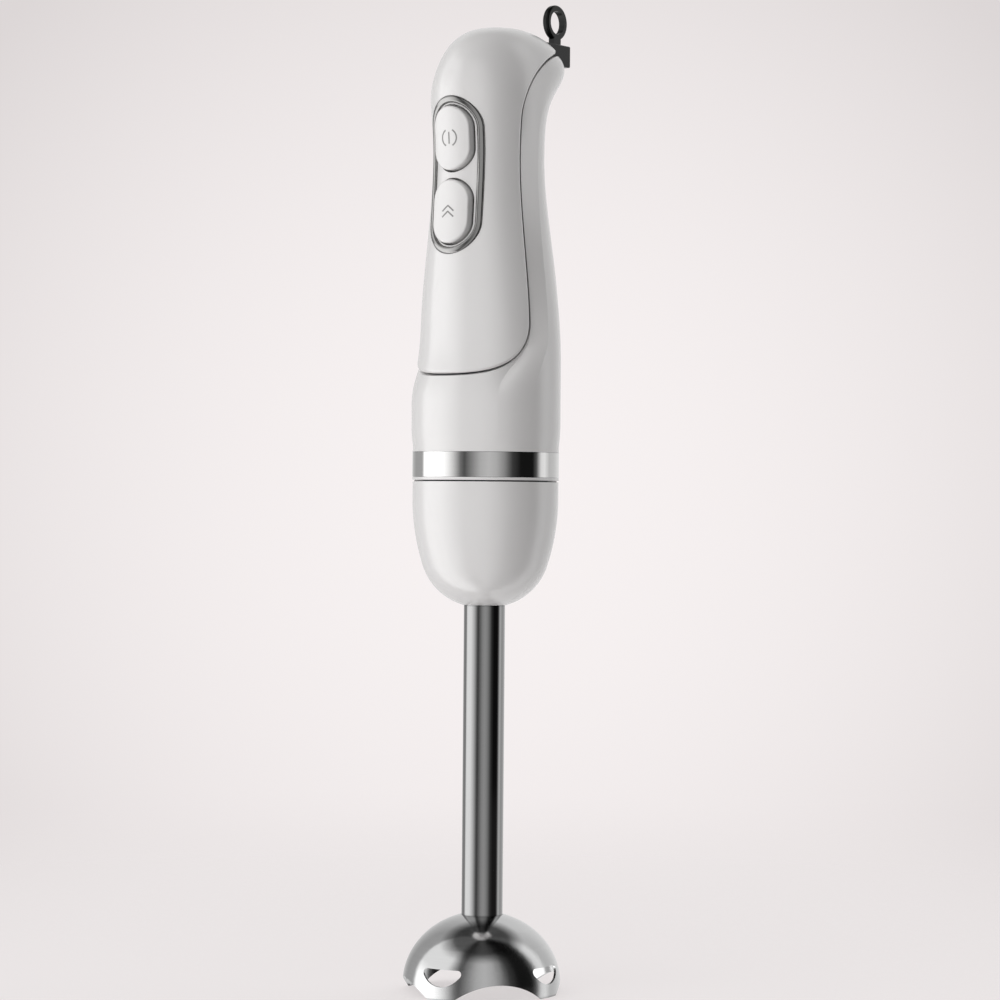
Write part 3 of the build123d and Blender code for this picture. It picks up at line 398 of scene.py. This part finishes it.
def make_seal_lip_and_joint_shade(material):
    """Flat dark lip that runs out from the coupling seal over the cup's rim: rubber, and also painted shade
    in the joint under the handle.
    """
    cup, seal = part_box("leg_cup")[1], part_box("coupling_seal")[1]
    inner, outer = seal.x + LIP_CLEAR, cup.x - LIP_INSET
    low, high = cup.z, cup.z + LIP_THICKNESS
    profile = [(inner, low), (outer - LIP_EDGE, low), (outer, low + LIP_EDGE), (outer, high - LIP_EDGE),
               (outer - LIP_EDGE, high), (inner, high)]
    vertices, faces = [], []
    for i in range(LIP_SIDES):
        angle = 2 * math.pi * i / LIP_SIDES
        vertices += [(r * math.cos(angle), r * math.sin(angle), z) for r, z in profile]
        here, there = len(profile) * i, len(profile) * ((i + 1) % LIP_SIDES)
        for j in range(len(profile)):
            k = (j + 1) % len(profile)
            faces.append((here + j, there + j, there + k, here + k))
    lip = add_piece("seal_lip_joint_shade", vertices, faces, material)
    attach(lip, "leg")


def make_coil(node):
    """Return spring in its node's shape: a copy with its own mesh under the motor unit, in place of the
    hidden node.
    """
    name = node + "_coil"
    coil = bpy.data.objects.new(name, frame["nodes"][node].data.copy())
    coil.data.name = name
    bpy.context.scene.collection.objects.link(coil)
    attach(coil, "motor_unit")
    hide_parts(node)
    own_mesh(coil)


def surface_of(node):
    """Ray caster on a CAD node's mesh."""
    mesh = frame["nodes"][node].data
    return BVHTree.FromPolygons([v.co for v in mesh.vertices], [p.vertices[:] for p in mesh.polygons])


def front_of(surface, x, z):
    """Point on a surface's front at a place across and up."""
    start = Vector((x, MARK_RAY_START, z))
    return surface.ray_cast(start, Vector((0, 1, 0)))[0]


def resampled(points):
    """Even steps along a line of (x, z) points."""
    line = []
    for start, end in zip(points, points[1:]):
        start, end = Vector(start), Vector(end)
        steps = max(1, round((end - start).length / MARK_STEP))
        line += [start.lerp(end, i / steps) for i in range(steps)]
    return line + [Vector(points[-1])]


def add_stroke(surface, points, vertices, faces):
    """Adds a raised stroke along a line of (x, z) points, laid on a surface and rooted in it."""
    line = resampled(points)
    base = len(vertices)
    for i, point in enumerate(line):
        ahead = (line[min(i + 1, len(line) - 1)] - line[max(i - 1, 0)]).normalized()
        side = Vector((-ahead.y, ahead.x)) * MARK_WIDTH / 2
        for edge in (point - side, point + side):
            spot = front_of(surface, edge.x, edge.y)
            vertices += [spot + Vector((0, MARK_ROOT, 0)), spot - Vector((0, MARK_PROUD, 0))]
    # Each step has four corners: root and top on one side, then root and top on the other
    corners = 4
    for i in range(len(line) - 1):
        here, there = base + corners * i, base + corners * (i + 1)
        for j, k in ((1, 3), (3, 2), (2, 0), (0, 1)):
            faces.append((here + j, here + k, there + k, there + j))
    last = base + corners * (len(line) - 1)
    faces += [(base, base + 2, base + 3, base + 1), (last, last + 1, last + 3, last + 2)]


def make_mark(name, button, body, strokes, material):
    """Raised mark on a button's face, from strokes of (x, z) points about the button's middle."""
    low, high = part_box(button)
    middle = (low.z + high.z) / 2
    surface = surface_of(button)
    vertices, faces = [], []
    for stroke in strokes:
        add_stroke(surface, [(x, middle + z) for x, z in stroke], vertices, faces)
    mark = add_piece(name, vertices, faces, material)
    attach(mark, body)


def power_strokes():
    """A ring open above and below, round an upright bar."""
    strokes = [[(0, -POWER_BAR / 2), (0, POWER_BAR / 2)]]
    for side in (-1, 1):
        arc = []
        for i in range(POWER_STEPS + 1):
            angle = math.radians(POWER_GAP + (180 - 2 * POWER_GAP) * i / POWER_STEPS)
            arc.append((side * POWER_RADIUS * math.sin(angle), POWER_RADIUS * math.cos(angle)))
        strokes.append(arc)
    return strokes


def boost_strokes():
    """Two chevrons pointing up."""
    half = CHEVRON_WIDTH / 2
    strokes = []
    for lift in (-CHEVRON_PITCH / 2, CHEVRON_PITCH / 2):
        low, high = lift - CHEVRON_RISE / 2, lift + CHEVRON_RISE / 2
        strokes.append([(-half, low), (0, high), (half, low)])
    return strokes


def view_axes():
    """Directions from the object to the camera and to the picture's right."""
    angle = math.radians(CAMERA_AZIMUTH)
    return Vector((math.sin(angle), -math.cos(angle), 0)), Vector((math.cos(angle), math.sin(angle), 0))


def make_camera():
    """Camera at the photograph's place."""
    towards, right = view_axes()
    data = bpy.data.cameras.new("camera")
    data.lens = CAMERA_LENS
    data.sensor_width = SENSOR_WIDTH
    camera = bpy.data.objects.new("camera", data)
    place = towards * CAMERA_DISTANCE + right * CAMERA_RIGHT + Vector((0, 0, CAMERA_HEIGHT))
    turn = (-towards).to_track_quat("-Z", "Y").to_matrix().to_4x4()
    roll = Matrix.Rotation(math.radians(CAMERA_ROLL), 4, "Z")
    camera.matrix_world = Matrix.Translation(place) @ turn @ roll
    bpy.context.scene.collection.objects.link(camera)
    bpy.context.scene.camera = camera


def backdrop_colour(nodes, vector, towards):
    """Pale backdrop, brightest straight behind the object."""
    off_middle = nodes.math("ADD", 1.0, nodes.dot(vector, towards))
    return nodes.tint(nodes.span(off_middle, 0.0, 1.0, 0.0, BACKDROP_SPREAD), BACKDROP_MIDDLE, BACKDROP_EDGE)


def level_round(nodes, angle, table):
    """Brightness by angle round the object, from a table of (degrees, level) that runs from -180 to 180."""
    ramp = nodes.add("ShaderNodeValToRGB", {"Fac": nodes.span(angle, 0.0, 1.0, -math.pi, math.pi)})
    stops = ramp.color_ramp.elements
    for degrees, _ in table[1:-1]:
        stops.new((degrees + 180) / 360)
    peak = max(level for _, level in table)
    for stop, (_, level) in zip(stops, table):
        stop.color = (*grey(level / peak), 1.0)
    return nodes.math("MULTIPLY", ramp.outputs["Color"], peak)


def make_world():
    """Soft studio round the object, and the backdrop that the camera sees."""
    towards, right = view_axes()
    world = bpy.data.worlds.new("studio")
    world.use_nodes = True
    bpy.context.scene.world = world
    nodes = Tree(world.node_tree)
    vector = nodes.add("ShaderNodeTexCoord").outputs["Generated"]
    angle = nodes.math("ARCTAN2", nodes.dot(vector, right), nodes.dot(vector, towards))
    height = nodes.dot(vector, (0, 0, 1))

    limit = nodes.span(height, *MIRRORED_LIMIT, *MIRRORED_LIMIT_FADE)
    mirrored = nodes.math("MINIMUM", level_round(nodes, angle, MIRRORED), limit)
    mirrored = nodes.math("MULTIPLY", mirrored, nodes.span(height, 1.0, MIRRORED_TOP, *MIRRORED_FADE))

    overhead = nodes.span(height, 0.0, 1.0, *LIGHTING_FADE)
    lighting = nodes.between(overhead, level_round(nodes, angle, LIGHTING), LIGHTING_TOP)

    path = nodes.add("ShaderNodeLightPath").outputs
    level = nodes.between(path["Is Glossy Ray"], lighting, mirrored)
    studio = nodes.add("ShaderNodeBackground", {"Color": level})
    backdrop = nodes.add("ShaderNodeBackground", {"Color": backdrop_colour(nodes, vector, towards)})
    shaders = {0: path["Is Camera Ray"], 1: studio.outputs[0], 2: backdrop.outputs[0]}
    mixed = nodes.add("ShaderNodeMixShader", shaders)
    nodes.add("ShaderNodeOutputWorld", {"Surface": mixed.outputs[0]})


def floor_finish():
    """Pale floor that fades into the backdrop, hardly shows in the steel and is clear from below."""
    made, nodes = new_material("floor")
    path = nodes.add("ShaderNodeLightPath").outputs

    colour = nodes.tint(nodes.noise(FLOOR_GRAIN, 2.0), *FLOOR_TINTS)
    matt = nodes.add("ShaderNodeBsdfDiffuse", {"Color": colour})
    glow = nodes.add("ShaderNodeEmission", {"Color": (*BACKDROP_MIDDLE, 1.0)})
    shown = nodes.math("MAXIMUM", path["Is Camera Ray"], path["Is Glossy Ray"])
    glowing = nodes.math("MULTIPLY", shown, FLOOR_GLOW)
    pale = nodes.add("ShaderNodeMixShader", {0: glowing, 1: matt.outputs[0], 2: glow.outputs[0]})

    reach = nodes.add("ShaderNodeVectorMath", {0: nodes.position()}, operation="LENGTH").outputs["Value"]
    values = {"Value": reach, "From Min": FLOOR_CLEAR, "From Max": FLOOR_RADIUS}
    fade = nodes.add("ShaderNodeMapRange", values, interpolation_type="SMOOTHSTEP").outputs["Result"]
    lighting = nodes.math("MAXIMUM", path["Is Diffuse Ray"], path["Is Shadow Ray"])
    hidden = nodes.add("ShaderNodeNewGeometry").outputs["Backfacing"]
    for share in (fade, nodes.math("MULTIPLY", path["Is Glossy Ray"], 1 - FLOOR_MIRRORED),
                  nodes.math("MULTIPLY", lighting, FLOOR_UNLIT)):
        hidden = nodes.math("MAXIMUM", hidden, share)
    clear = nodes.add("ShaderNodeBsdfTransparent")
    mixed = nodes.add("ShaderNodeMixShader", {0: hidden, 1: pale.outputs[0], 2: clear.outputs[0]})
    nodes.add("ShaderNodeOutputMaterial", {"Surface": mixed.outputs[0]})
    return made


def make_floor():
    """Round floor under the feet, which follows a leg that is drawn off."""
    angles = [2 * math.pi * i / FLOOR_SIDES for i in range(FLOOR_SIDES)]
    rim = [(FLOOR_RADIUS * math.cos(angle), FLOOR_RADIUS * math.sin(angle), 0.0) for angle in angles]
    floor = add_piece("floor", rim, [tuple(range(FLOOR_SIDES))], floor_finish())
    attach(floor, "leg")


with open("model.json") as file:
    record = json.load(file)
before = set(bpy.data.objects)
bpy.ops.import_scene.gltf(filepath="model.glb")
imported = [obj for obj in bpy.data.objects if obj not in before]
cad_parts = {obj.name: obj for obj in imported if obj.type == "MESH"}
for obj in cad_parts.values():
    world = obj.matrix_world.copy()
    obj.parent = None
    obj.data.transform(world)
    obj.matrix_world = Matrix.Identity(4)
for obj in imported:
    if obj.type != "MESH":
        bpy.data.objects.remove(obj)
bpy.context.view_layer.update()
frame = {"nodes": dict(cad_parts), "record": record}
bpy.context.scene.view_settings.view_transform = "Standard"

finishes = make_finishes()
dress_nodes(finishes)
# Dark rubber lip that also paints shade into the joint under the handle.
make_seal_lip_and_joint_shade(finishes["seal_rubber"])
make_coil("power_spring")
make_coil("turbo_spring")
make_mark("power_mark", "power_button", "power_key", power_strokes(), finishes["mark_grey"])
make_mark("boost_mark", "turbo_button", "turbo_key", boost_strokes(), finishes["mark_grey"])
make_camera()
make_world()
make_floor()
